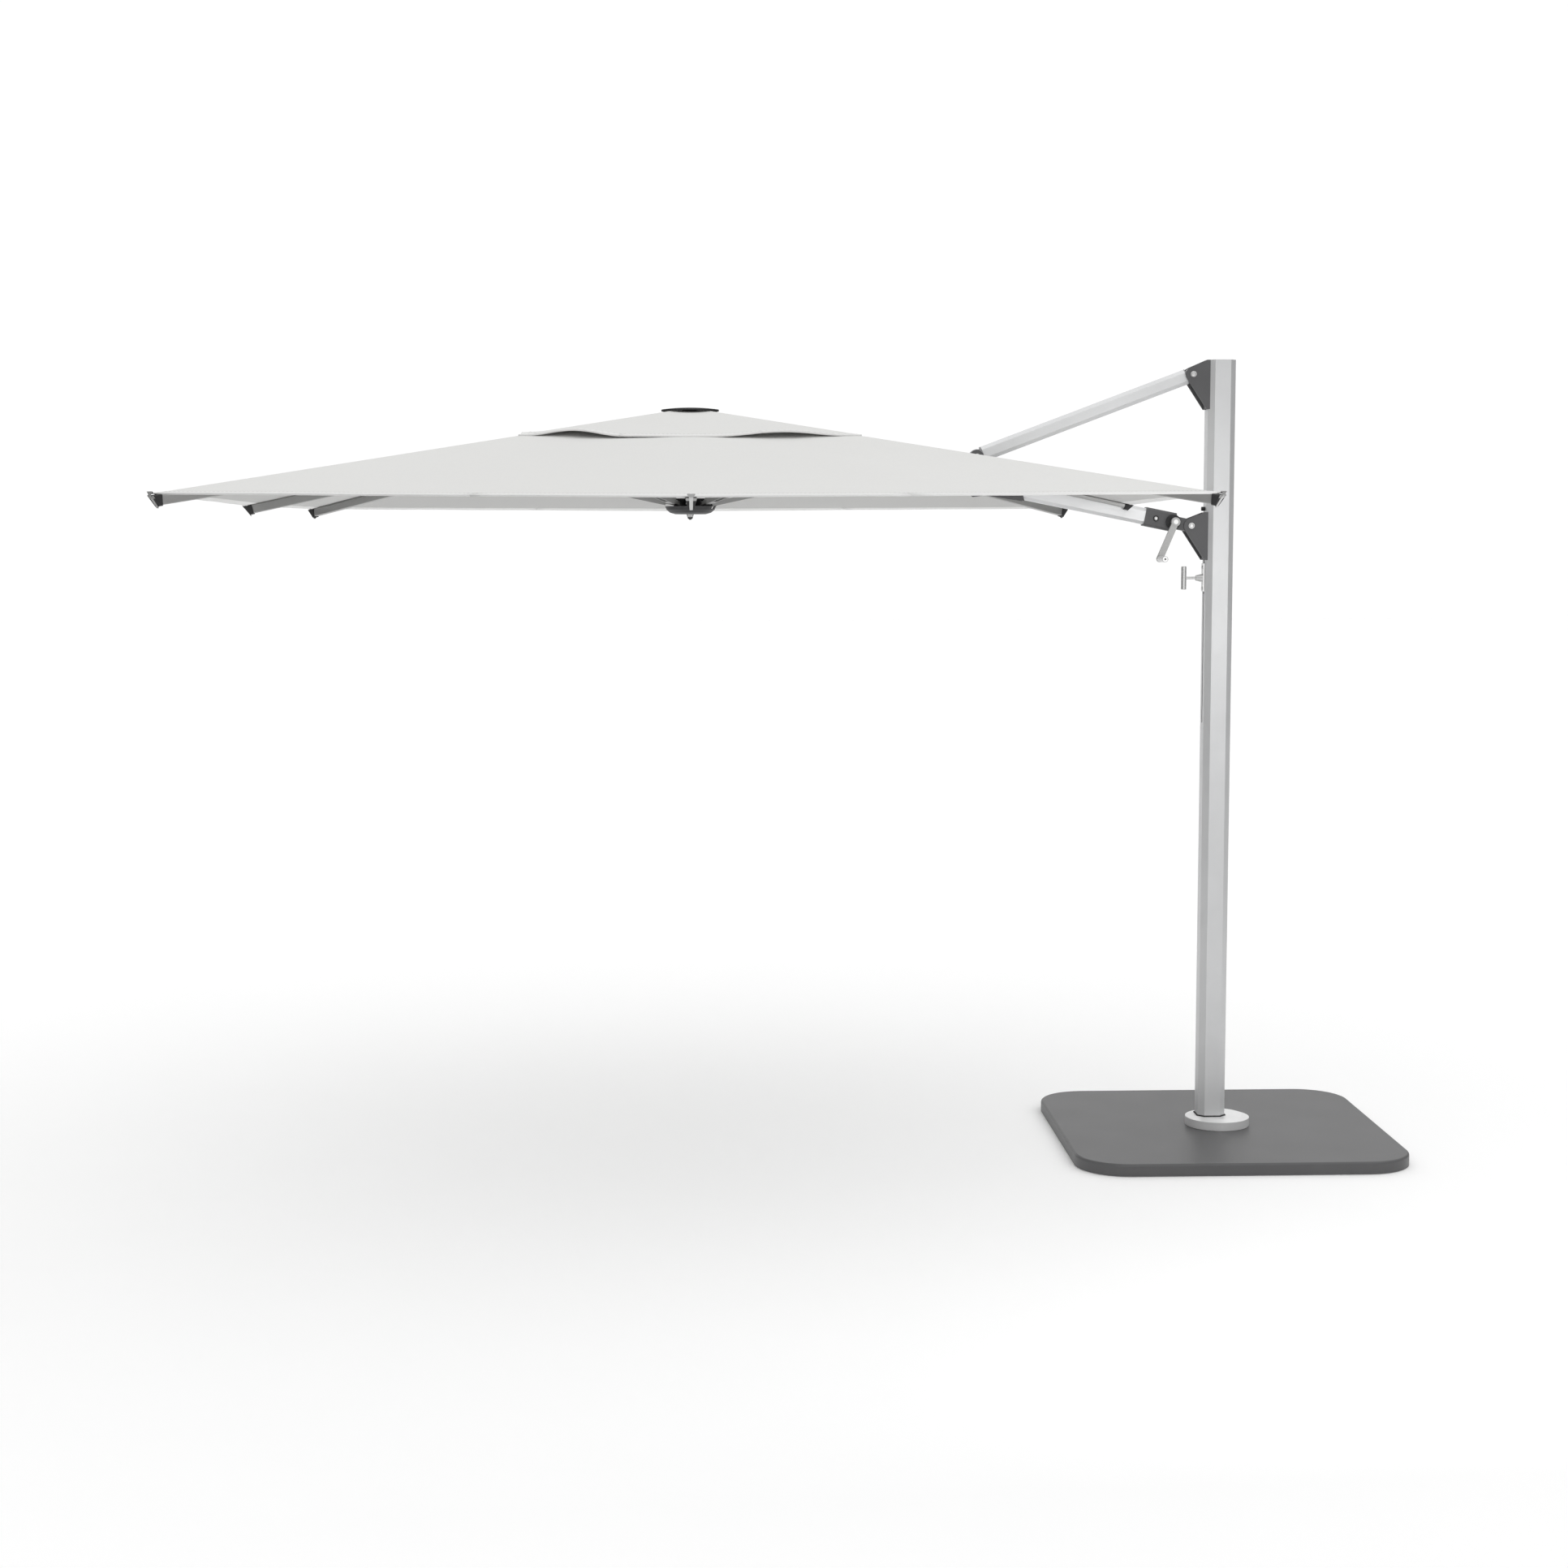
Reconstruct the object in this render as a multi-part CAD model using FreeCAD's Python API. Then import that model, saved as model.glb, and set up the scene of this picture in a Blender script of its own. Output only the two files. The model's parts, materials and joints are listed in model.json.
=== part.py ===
"""Cantilever parasol: square canopy hung from a side mast, with a crank, a sliding carriage
and a swivelling foot. Millimetres, +Z up. The origin is the centre of the base's underside,
on the swivel axis. The canopy stands toward -X, and the arm lies in the plane y = 0."""
import FreeCAD, Part
import math
import os

V = FreeCAD.Vector

# ---- driving dimensions ----
BASE_SIDE, BASE_CORNER, BASE_TOP = 1130.0, 170.0, 42.0
COVER_WALL, FOOT_HEIGHT = 4.0, 6.0
COLLAR_RADIUS, COLLAR_TOP = 111.0, 80.0
MAST_X, MAST_WIDTH, MAST_CHAMFER, MAST_WALL, MAST_TOP = -27.0, 94.0, 20.0, 4.0, 2702.0
PIVOT_X, TOP_PIVOT_Z, LOW_PIVOT_Z = -126.0, 2653.5, 2139.0
SLOT_BOTTOM, SLOT_TOP, SLOT_HALF = 1460.0, 2186.0, 7.0
CHEEK_IN, CHEEK_OUT = 27.0, 33.0
CLEAR, LOCK_Z = 0.5, 1960.0

CANOPY_X, HEM_Z, HALF = -1842.0, 2223.0, 1500.0
APEX, MID_DROP = 314.0, 9.5
FABRIC, RIDGE_GAP = 1.6, 3.0
VENT_HALF, VENT_OPENING, VENT_LIFT = 546.0, 430.0, 4.0
SLIT, CAP_TOP, CAP_CURVE = 38.5, 317.0, 700.0

RIB_HIGH, RIB_WIDE, RIB_WALL = 30.0, 20.0, 1.5
SLIM_HIGH, SLIM_WIDE, SLIM_Y = 14.0, 12.0, 44.0
SLIM_BAR_IN, SLIM_BAR_OUT = 32.0, 36.0
HINGE_R, SLIM_HINGE_X = 50.0, 80.0
RUNNER_PIVOT_Z = -8.0
CLOSED = math.radians(86.16)

BOOM_HIGH, BOOM_WIDE, BOOM_CHAMFER, BOOM_WALL = 56.0, 50.0, 10.0, 3.0
STRUT_HIGH, STRUT_WIDE, STRUT_CHAMFER, STRUT_WALL = 52.0, 44.0, 12.0, 3.0
CROWN_PIN = V(CANOPY_X + 95.0, 0, HEM_Z + 247.0)
U_PIN = V(-864.5, 0, 2375.5)
CRANK_S, GRIP_LENGTH, LINE_N = 64.0, 95.0, 9.0

CRANK_ARM, CRANK_Y, CRANK_DIP = 137.0, -75.0, math.radians(67.0)

L_PIN = V(PIVOT_X, 0, LOW_PIVOT_Z)
T_PIN = V(PIVOT_X, 0, TOP_PIVOT_Z)
BOOM_SLOPE = -math.atan2(CROWN_PIN.z - L_PIN.z, L_PIN.x - CROWN_PIN.x)
STRUT_SLOPE = math.atan2(T_PIN.z - U_PIN.z, T_PIN.x - U_PIN.x)
BOOM_LENGTH, STRUT_LENGTH = (CROWN_PIN - L_PIN).Length, (U_PIN - T_PIN).Length


# ---- helpers ----
def box(x0, x1, y0, y1, z0, z1):
    return Part.makeBox(x1 - x0, y1 - y0, z1 - z0, V(x0, y0, z0))


def rod(base, axis, radius, length, bore=0):
    shape = Part.makeCylinder(radius, length, base, axis)
    return shape.cut(Part.makeCylinder(bore, length, base, axis)) if bore else shape


def cross_pin(x, z, radius, half, y=0.0):
    """A round pin along Y, centred on y."""
    return rod(V(x, y - half, z), V(0, 1, 0), radius, 2 * half)


def polygon(points):
    return Part.Face(Part.makePolygon(list(points) + [points[0]]))


def plate_xz(points, y0, y1):
    return polygon([V(x, y0, z) for x, z in points]).extrude(V(0, y1 - y0, 0))


def chamfered(half_a, half_b, cut):
    """Corner points of a rectangle with its corners cut off."""
    a, b = half_a, half_b
    return [(-a + cut, -b), (a - cut, -b), (a, -b + cut), (a, b - cut),
            (a - cut, b), (-a + cut, b), (-a, b - cut), (-a, -b + cut)]


def bar_x(half_y, half_z, cut, s0, s1):
    """A chamfered bar along +X."""
    face = polygon([V(s0, y, z) for y, z in chamfered(half_y, half_z, cut)])
    return face.extrude(V(s1 - s0, 0, 0))


def hollow_x(half_y, half_z, cut, wall, s0, s1):
    inner = bar_x(half_y - wall, half_z - wall, max(cut - 0.6 * wall, 0.4), s0 - 1, s1 + 1)
    return bar_x(half_y, half_z, cut, s0, s1).cut(inner)


def octagon_z(half, cut, z0, z1):
    face = polygon([V(MAST_X + x, y, z0) for x, y in chamfered(half, half, cut)])
    return face.extrude(V(0, 0, z1 - z0))


def place(shape, point, azimuth, slope):
    """Moves a member drawn along +X so that it starts at point and slopes down by slope."""
    turn = FreeCAD.Rotation(V(0, 0, 1), azimuth).multiply(
        FreeCAD.Rotation(V(0, 1, 0), math.degrees(slope)))
    shape = shape.copy()
    shape.Placement = FreeCAD.Placement(point, turn)
    return shape


def on_boom(shape):
    return place(shape, L_PIN, 180, BOOM_SLOPE)


def on_strut(shape):
    return place(shape, T_PIN, 180, STRUT_SLOPE)


def save(name, *solids):
    shape = solids[0] if len(solids) == 1 else Part.makeCompound(list(solids))
    shape.exportStep(f"parts/{name}.step")


def rounded_slab(side, radius, z0, z1):
    slab = box(-side / 2, side / 2, -side / 2, side / 2, z0, z1)
    upright = [e for e in slab.Edges if abs(e.Vertexes[0].Z - e.Vertexes[1].Z) > 1]
    return slab.makeFillet(radius, upright)


# ---- base ----
def base_cover():
    outer = rounded_slab(BASE_SIDE, BASE_CORNER, 2, BASE_TOP)
    rim = [e for e in outer.Edges if e.BoundBox.ZMin > BASE_TOP - 0.1]
    outer = outer.makeFillet(8, rim)
    inner = rounded_slab(BASE_SIDE - 2 * COVER_WALL, BASE_CORNER - COVER_WALL, 2,
                         BASE_TOP - COVER_WALL)
    shell = outer.cut(inner).cut(rod(V(0, 0, 30), V(0, 0, 1), 61, 20))
    for x, y in ring_points(85, 6):
        shell = shell.cut(rod(V(x, y, 30), V(0, 0, 1), 4.2, 20))
    return shell


def ring_points(radius, count):
    return [(radius * math.cos(2 * math.pi * i / count), radius * math.sin(2 * math.pi * i / count))
            for i in range(count)]


def ballast_slabs():
    gap, edge, top = 5, BASE_SIDE / 2 - 12, BASE_TOP - COVER_WALL - 1
    tray = rounded_slab(2 * edge, BASE_CORNER - 12, FOOT_HEIGHT, top)
    centre = rod(V(0, 0, 0), V(0, 0, 1), 125, 60)
    return [tray.common(box(*sorted((gap * i, edge * i)), *sorted((gap * j, edge * j)), 0, 60))
            .cut(centre) for i in (-1, 1) for j in (-1, 1)]


def base_feet():
    corner = BASE_SIDE / 2 - 130
    pads = [rod(V(i * corner, j * corner, 0), V(0, 0, 1), 40, FOOT_HEIGHT)
            for i in (-1, 1) for j in (-1, 1)]
    return pads + [rod(V(0, 0, 0), V(0, 0, 1), 100, FOOT_HEIGHT)]


def swivel_flange():
    disc = rod(V(0, 0, FOOT_HEIGHT), V(0, 0, 1), 118, BASE_TOP - COVER_WALL - FOOT_HEIGHT)
    boss = rod(V(0, 0, 20), V(0, 0, 1), 60, 42)
    stud = rod(V(0, 0, 50), V(0, 0, 1), 8, 40)
    flange = disc.fuse(boss).fuse(stud)
    for x, y in ring_points(85, 6):
        flange = flange.cut(rod(V(x, y, 14), V(0, 0, 1), 4, 40))
    return flange.removeSplitter()


def flange_bolts():
    bolts = []
    for x, y in ring_points(85, 6):
        shank = rod(V(x, y, 14), V(0, 0, 1), 4, BASE_TOP - 14)
        bolts.append(shank.fuse(rod(V(x, y, BASE_TOP), V(0, 0, 1), 7, 5)))
    return bolts


def stud_nut():
    hexagon = polygon([V(x, y, 70.2) for x, y in ring_points(14.5, 6)]).extrude(V(0, 0, 12))
    return hexagon.cut(rod(V(0, 0, 60), V(0, 0, 1), 8, 40))


# ---- mast ----
def mast_collar():
    wall = rod(V(0, 0, 43), V(0, 0, 1), COLLAR_RADIUS, 29)
    bevel = Part.makeCone(COLLAR_RADIUS, COLLAR_RADIUS - 24, COLLAR_TOP - 72, V(0, 0, 72))
    collar = wall.fuse(bevel).cut(rod(V(0, 0, 40), V(0, 0, 1), 60.05, 22.3))
    collar = collar.cut(rod(V(0, 0, 40), V(0, 0, 1), 100, 8.5))
    collar = collar.cut(rod(V(0, 0, 40), V(0, 0, 1), 8.05, 40))
    return collar.cut(octagon_z(MAST_WIDTH / 2, MAST_CHAMFER, 68, 100)).removeSplitter()


def mast_tube():
    half = MAST_WIDTH / 2
    tube = octagon_z(half, MAST_CHAMFER, 68, MAST_TOP - 4)
    tube = tube.cut(octagon_z(half - MAST_WALL, MAST_CHAMFER - 0.6 * MAST_WALL, 60, MAST_TOP))
    face = MAST_X - half
    return tube.cut(box(face - 1, face + 6, -SLOT_HALF, SLOT_HALF, SLOT_BOTTOM, SLOT_TOP))


def mast_foot_plug():
    plug = octagon_z(MAST_WIDTH / 2 - MAST_WALL, MAST_CHAMFER - 0.6 * MAST_WALL, 68, 170)
    return plug.cut(rod(V(0, 0, 60), V(0, 0, 1), 15.3, 40))


def mast_cap():
    lid = octagon_z(MAST_WIDTH / 2, MAST_CHAMFER, MAST_TOP - 4, MAST_TOP)
    plug = octagon_z(MAST_WIDTH / 2 - MAST_WALL, MAST_CHAMFER - 0.6 * MAST_WALL,
                     MAST_TOP - 30, MAST_TOP - 4)
    return lid.fuse(plug)


def bracket(pivot_z, top, low, gap):
    """Two cheeks round a pivot and a back plate on the mast's face, low and top from the pivot."""
    face = MAST_X - MAST_WIDTH / 2 - gap
    outline = [(face + 8, top), (face - 4, top), (PIVOT_X - 6, 25), (PIVOT_X - 18, 18),
               (PIVOT_X - 24, 9), (PIVOT_X - 26, 0), (PIVOT_X - 24, -10), (PIVOT_X - 18, -21),
               (face - 6, low), (face + 8, low)]
    outline = [(x, pivot_z + z) for x, z in outline]
    shape = plate_xz(outline, CHEEK_IN, CHEEK_OUT).fuse(plate_xz(outline, -CHEEK_OUT, -CHEEK_IN))
    shape = shape.fuse(box(face - 5, face, -CHEEK_OUT, CHEEK_OUT, pivot_z + low, pivot_z + top))
    shape = shape.cut(octagon_z(MAST_WIDTH / 2 + gap, MAST_CHAMFER + 0.6 * gap, 100, 3000))
    return shape.cut(cross_pin(PIVOT_X, pivot_z, 8, 40)).removeSplitter()


def pivot_pin(z):
    pin = cross_pin(PIVOT_X, z, 8, CHEEK_OUT)
    for side in (-1, 1):
        pin = pin.fuse(rod(V(PIVOT_X, side * CHEEK_OUT, z), V(0, side, 0), 10, 4))
    return pin


def slide_bumper():
    return rod(V(MAST_X - MAST_WIDTH / 2, 0, 2197), V(-1, 0, 0), 7, 12)


# ---- carriage ----
def carriage_shoe():
    half = MAST_WIDTH / 2 - MAST_WALL - CLEAR
    shoe = octagon_z(half, MAST_CHAMFER - 0.6 * MAST_WALL, 1905, 2180)
    shoe = shoe.cut(octagon_z(half - 10, MAST_CHAMFER - 6, 1925, 2160))
    face = MAST_X - MAST_WIDTH / 2
    rail = box(face - CLEAR, face + 8, -6.5, 6.5, 1905, 2180)
    return shoe.fuse(rail).cut(rod(V(face - 20, 0, LOCK_Z), V(1, 0, 0), 4.6, 40)).removeSplitter()


def lock_housing():
    face = MAST_X - MAST_WIDTH / 2 - CLEAR
    shell = box(face - 5, face, -16, 16, LOCK_Z - 46, LOCK_Z + 50)
    shell = shell.fuse(Part.makeCone(15, 9, 24, V(face - 5, 0, LOCK_Z), V(-1, 0, 0)))
    for z in (LOCK_Z - 35.5, LOCK_Z + 36.5):
        shell = shell.fuse(rod(V(face - 5, 0, z), V(-1, 0, 0), 5.5, 3))
    shell = shell.cut(rod(V(face - 21, 0, LOCK_Z), V(1, 0, 0), 7.5, 30))
    return shell.cut(rod(V(face - 40, 0, LOCK_Z), V(1, 0, 0), 4.6, 60)).removeSplitter()


def lock_spring():
    """Pressed coil between the pin's shoulder and the housing's mouth."""
    face = MAST_X - MAST_WIDTH / 2 - CLEAR
    rings = [Part.makeTorus(6.2, 0.7, V(face - 19.5 + 1.9 * i, 0, LOCK_Z), V(1, 0, 0))
             for i in range(8)]
    return rings


def t_handle():
    face = MAST_X - MAST_WIDTH / 2 - CLEAR
    stem = rod(V(PIVOT_X - 18, 0, LOCK_Z), V(1, 0, 0), 4.5, 69)
    shoulder = rod(V(face - 5, 0, LOCK_Z), V(1, 0, 0), 6.9, 3)
    grip = rod(V(PIVOT_X - 18, 0, LOCK_Z - 40), V(0, 0, 1), 9, 80)
    grip = grip.makeFillet(2, [e for e in grip.Edges if e.Closed])
    return stem.fuse(shoulder).fuse(grip).removeSplitter()


# ---- strut ----
def strut_tube():
    return on_strut(hollow_x(STRUT_WIDE / 2, STRUT_HIGH / 2, STRUT_CHAMFER, STRUT_WALL,
                             24, STRUT_LENGTH - 24))


def strut_end(near, far, radius, half, hole):
    """End fitting on the pivot at s = near, with its plug reaching into the tube at s = far."""
    toward = 1 if far > near else -1
    tongue = cross_pin(near, 0, radius, half)
    neck = box(*sorted((near, near + toward * 22)), -half, half, -radius + 4, radius - 4)
    plug = bar_x(STRUT_WIDE / 2 - STRUT_WALL, STRUT_HIGH / 2 - STRUT_WALL,
                 STRUT_CHAMFER - 0.6 * STRUT_WALL, *sorted((near + toward * 26, far)))
    lip = bar_x(STRUT_WIDE / 2, STRUT_HIGH / 2, STRUT_CHAMFER,
                *sorted((near + toward * 20, near + toward * 24)))
    joined = tongue.fuse(neck).fuse(lip)
    joined = joined.fuse(bar_x(18, 18, 6, *sorted((near + toward * 22, far))))
    return joined.fuse(plug).cut(cross_pin(near, 0, hole, 60)).removeSplitter()


# ---- boom ----
def boom_tube():
    return on_boom(hollow_x(BOOM_WIDE / 2, BOOM_HIGH / 2, BOOM_CHAMFER, BOOM_WALL,
                            96, BOOM_LENGTH - 80).cut(cross_pin(125, 0, 5, 40)))


def boom_knuckle():
    tongue = cross_pin(0, 0, 21, CHEEK_IN - 0.3)
    neck = box(0, 60, -CHEEK_IN + 0.3, CHEEK_IN - 0.3, -21, 21)
    sleeve = bar_x(BOOM_WIDE / 2 + 4, BOOM_HIGH / 2 + 4, 7, 56, 162)
    shape = tongue.fuse(neck).fuse(sleeve)
    shape = shape.cut(box(40, 56, -40, 40, -40, -21)).cut(box(40, 56, -40, 40, 21, 40))
    shape = shape.cut(bar_x(BOOM_WIDE / 2, BOOM_HIGH / 2, BOOM_CHAMFER, 96, 170))
    shape = shape.cut(box(41, 97, -22, 22, -22.5, 22.5)).cut(cross_pin(0, 0, 8.05, 60))
    shape = shape.cut(cross_pin(CRANK_S, 0, 8.05, 60)).cut(cross_pin(125, 0, 5, 60))
    return on_boom(shape.removeSplitter())


def knuckle_bolt():
    bolt = cross_pin(125, 0, 5, 29)
    for side in (-1, 1):
        bolt = bolt.fuse(rod(V(125, side * 29, 0), V(0, side, 0), 6, 4))
    return on_boom(bolt)


def crank_bush():
    return on_boom(rod(V(CRANK_S, 29, 0), V(0, 1, 0), 25.5, 7, 8.05))


def u_on_boom():
    """The strut's lower pivot in the boom's own frame: along it and above it."""
    d = U_PIN - L_PIN
    c, s = math.cos(BOOM_SLOPE), math.sin(BOOM_SLOPE)
    along = -d.x * c - d.z * s
    return along, -d.x * s + d.z * c


def strut_saddle():
    along, above = u_on_boom()
    outline = [(along - 190, -BOOM_HIGH / 2 - 4), (along - 60, -38), (along - 20, -52),
               (along + 2, -44), (along + 14, -20), (along + 26, above - 8), (along + 18, above + 14),
               (along, above + 22), (along - 18, above + 14), (along - 40, above - 20),
               (along - 90, 24), (along - 175, 0)]
    inner, outer = BOOM_WIDE / 2 + 0.3, BOOM_WIDE / 2 + 5.3
    shape = plate_xz(outline, inner, outer).fuse(plate_xz(outline, -outer, -inner))
    shape = shape.fuse(box(along - 170, along - 8, -outer, outer, -BOOM_HIGH / 2 - 4, -BOOM_HIGH / 2))
    shape = shape.cut(cross_pin(along, above, 6, 60))
    return on_boom(shape.removeSplitter())


def strut_pin():
    along, above = u_on_boom()
    outer = BOOM_WIDE / 2 + 5.3
    pin = cross_pin(along, above, 6, outer)
    for side in (-1, 1):
        pin = pin.fuse(rod(V(along, side * outer, above), V(0, side, 0), 9, 4))
    return on_boom(pin)


def boom_tongue():
    end = BOOM_LENGTH
    plug = bar_x(BOOM_WIDE / 2 - BOOM_WALL, BOOM_HIGH / 2 - BOOM_WALL,
                 BOOM_CHAMFER - 0.6 * BOOM_WALL, end - 150, end - 80)
    shape = plug.fuse(bar_x(BOOM_WIDE / 2, BOOM_HIGH / 2, BOOM_CHAMFER, end - 80, end - 74))
    shape = shape.fuse(box(end - 80, end, -12, 12, -14, 14)).fuse(cross_pin(end, 0, 14, 12))
    groove = box(end - 160, end - 22, -3, 3, LINE_N - 3, LINE_N + 3)
    return on_boom(shape.cut(cross_pin(end, 0, 7.05, 20)).cut(groove).removeSplitter())


def lift_line():
    start = CRANK_S + 26
    return on_boom(rod(V(start, 0, LINE_N), V(1, 0, 0), 2, BOOM_LENGTH - 24 - start))


def slit_cover():
    """Fixed strips over the arm that close the canopy's slit, apart from the strut's gap."""
    strips = []
    strut_x = U_PIN.x - CANOPY_X
    for x0, x1, half in ((VENT_OPENING - 60, strut_x - 60, SLIM_BAR_IN - 1),
                         (strut_x + 190, HALF, SLIT - 1.5)):
        outline = [(x0, fabric_z(x0)), (x1, fabric_z(x1)), (x1, fabric_z(x1) - FABRIC),
                   (x0, fabric_z(x0) - FABRIC)]
        outline = [(CANOPY_X + x, HEM_Z + z) for x, z in outline]
        strips.append(plate_xz(outline, -half, half))
    return strips


# ---- crank, drawn in the boom's frame with y toward the user's side ----
def crank_shaft():
    shaft = rod(V(CRANK_S, -30, 0), V(0, 1, 0), 8, 112)
    drum = cross_pin(CRANK_S, 0, 20, 16)
    for side in (-1, 1):
        drum = drum.fuse(cross_pin(CRANK_S, 0, 21.5, 1.5, side * 14.5))
    return on_boom(drum.fuse(shaft).removeSplitter())


def crank_centre():
    c, s = math.cos(BOOM_SLOPE), math.sin(BOOM_SLOPE)
    return L_PIN + V(-CRANK_S * c, 0, -CRANK_S * s)


def crank_arm():
    """A flat bar from the shaft down to the grip, 22 degrees off the vertical."""
    bar = Part.makeBox(CRANK_ARM, 10, 22, V(0, -5, -11))
    bar = bar.fuse(cross_pin(0, 0, 15, 7)).fuse(cross_pin(CRANK_ARM, 0, 11, 5))
    bar = bar.cut(cross_pin(0, 0, 8, 20))
    grip_stud = rod(V(CRANK_ARM, 0, 0), V(0, 1, 0), 4, GRIP_LENGTH)
    bar = bar.fuse(grip_stud).removeSplitter()
    return place(bar, crank_centre() + V(0, CRANK_Y, 0), 180, CRANK_DIP)


def grip_centre():
    reach = V(-math.cos(CRANK_DIP), 0, -math.sin(CRANK_DIP)) * CRANK_ARM
    return crank_centre() + V(0, CRANK_Y, 0) + reach


def crank_grip():
    grip = rod(V(0, -6, 0), V(0, -1, 0), 10.5, GRIP_LENGTH, 4.05)
    rims = [e for e in grip.Edges if e.Closed and e.Curve.Radius > 10]
    grip = grip.makeFillet(2.5, rims)
    grip.Placement = FreeCAD.Placement(grip_centre(), FreeCAD.Rotation())
    return grip


# ---- canopy frame: heights are from the corner hem, distances from the canopy's centre ----
def centre(x, y, z):
    return V(CANOPY_X + x, y, HEM_Z + z)


def slope_of(azimuth):
    """Fall of the fabric along a rib: to the middle of a side, or to a corner."""
    if azimuth % 90:
        return math.atan2(APEX, HALF * math.sqrt(2))
    return math.atan2(APEX + MID_DROP, HALF)


def fabric_z(x):
    return APEX - x * (APEX + MID_DROP) / HALF


RIB_AZIMUTHS = {"left": 180, "near_left": 225, "near": 270, "near_right": 315,
                "far_right": 45, "far": 90, "far_left": 135}


def rib_hinge(azimuth, radius=HINGE_R, high=RIB_HIGH):
    slope = slope_of(azimuth)
    ridge = RIDGE_GAP if azimuth % 90 else 0
    down = (FABRIC + 1 + ridge + high / 2) / math.cos(slope)
    a = math.radians(azimuth)
    return centre(radius * math.cos(a), radius * math.sin(a),
                  APEX - radius * math.tan(slope) - down)


def slim_hinge(side):
    point = rib_hinge(0, SLIM_HINGE_X, SLIM_HIGH)
    return V(point.x, side * SLIM_Y, point.z)


def rib_length(azimuth, radius):
    reach = HALF * (math.sqrt(2) if azimuth % 90 else 1)
    return (reach - radius) / math.cos(slope_of(azimuth))


def runner_travel():
    """Fall of the runner while the ribs to the sides' middles close."""
    slope = slope_of(0)
    d0 = rib_hinge(0).z - (HEM_Z + RUNNER_PIVOT_Z)
    return d0 / math.sin(slope) * (math.sin(CLOSED) - math.sin(slope))


def stretcher_link(hinge_z, slope):
    """Place of the stretcher's pivot on its rib, and its length, so that both ends of the
    runner's travel close the triangle."""
    d0 = hinge_z - (HEM_Z + RUNNER_PIVOT_Z)
    d1 = d0 + runner_travel()
    low, high = math.sin(slope), math.sin(CLOSED)
    q = (d1 ** 2 - d0 ** 2) / (2 * (d1 * high - d0 * low))
    return q, math.sqrt(q * q + d0 * d0 - 2 * d0 * q * low)


def rib(azimuth, point, high, wide, tip_high, tip_wide, radius, trunnion):
    """Tube, root fitting with its trunnion or its bore, and tip cap, as separate solids."""
    slope = slope_of(azimuth)
    length = rib_length(azimuth, radius)
    tube = hollow_x(wide / 2, high / 2, 2.5, RIB_WALL, 30, length - 14)
    root = cross_pin(0, 0, 6.5, 4).fuse(box(0, 30, -4, 4, -6.5, 6.5))
    root = root.fuse(box(24, 70, -wide / 2 + RIB_WALL + 1.5, wide / 2 - RIB_WALL - 1.5,
                         -high / 2 + RIB_WALL + 1.5, high / 2 - RIB_WALL - 1.5))
    pin = cross_pin(0, 0, 3 if trunnion else 3.05, 9)
    root = (root.fuse(pin) if trunnion else root.cut(pin)).removeSplitter()
    cap = tip_cap(length, high, tip_high, tip_wide, wide)
    q = stretcher_link(point.z, slope)[0]
    solids = [tube.cut(cross_pin(q, 0, 3.1, 40)), root, cap]
    return [place(s, point, azimuth, slope) for s in solids]


def tip_cap(length, high, tip_high, tip_wide, wide):
    """A plastic shoe on the rib's end, slanted back below and wider at the top, under the hem."""
    top, a, b = high / 2, tip_wide / 2, tip_wide / 3.4
    low = top - tip_high
    rings = []
    for upper, lower, narrow in ((length - 16, length - 18, 3), (length + 12, length - 5, 0)):
        ring = [V(upper, a - narrow, top), V(lower, b, low), V(lower, -b, low),
                V(upper, narrow - a, top)]
        rings.append(Part.makePolygon(ring + ring[:1]))
    cap = Part.makeLoft(rings, True, True)
    return cap.cut(bar_x(wide / 2, high / 2, 2.5, length - 60, length - 14)).Solids[0]


def stretcher(azimuth):
    """Twin flat bars astride the rib, joined by a block whose tongue sits in the runner."""
    point = rib_hinge(azimuth)
    slope = slope_of(azimuth)
    q, m = stretcher_link(point.z, slope)
    a = math.radians(azimuth)
    foot = centre(HINGE_R * math.cos(a), HINGE_R * math.sin(a), RUNNER_PIVOT_Z)
    joint = point.add(V(math.cos(a) * q * math.cos(slope), math.sin(a) * q * math.cos(slope),
                        -q * math.sin(slope)))
    tilt = -math.asin((joint.z - foot.z) / m)
    inner, outer, half = RIB_WIDE / 2 + 1, RIB_WIDE / 2 + 5, 12.0
    bars = [box(42, m, *sorted((side * inner, side * outer)), -half, half)
            .fuse(rod(V(m, side * inner, 0), V(0, side, 0), half, outer - inner))
            for side in (-1, 1)]
    block = box(34, 62, -inner, inner, -half, half).fuse(box(0, 40, -4, 4, -6.5, 6.5))
    block = block.fuse(cross_pin(0, 0, 6.5, 4)).fuse(cross_pin(0, 0, 2.6, 6))
    pin = cross_pin(m, 0, 3, outer)
    whole = bars[0].fuse([bars[1], block, pin]).removeSplitter()
    return place(whole, foot, azimuth, tilt)


def slim_stretcher(side):
    point = slim_hinge(side)
    slope = slope_of(0)
    q, m = stretcher_link(point.z, slope)
    foot = centre(SLIM_HINGE_X, 0, RUNNER_PIVOT_Z)
    tilt = -math.asin((point.z - q * math.sin(slope) - foot.z) / m)
    y0, y1 = sorted((side * SLIM_BAR_IN, side * SLIM_BAR_OUT))
    bar = box(0, m, y0, y1, -7, 7)
    for s in (0, m):
        bar = bar.fuse(rod(V(s, y0, 0), V(0, 1, 0), 7, y1 - y0))
    pin = rod(V(m, side * SLIM_BAR_OUT, 0), V(0, side, 0), 3, SLIM_Y + 6 - SLIM_BAR_OUT)
    return place(bar.fuse(pin).removeSplitter(), foot, 0, tilt)


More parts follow.
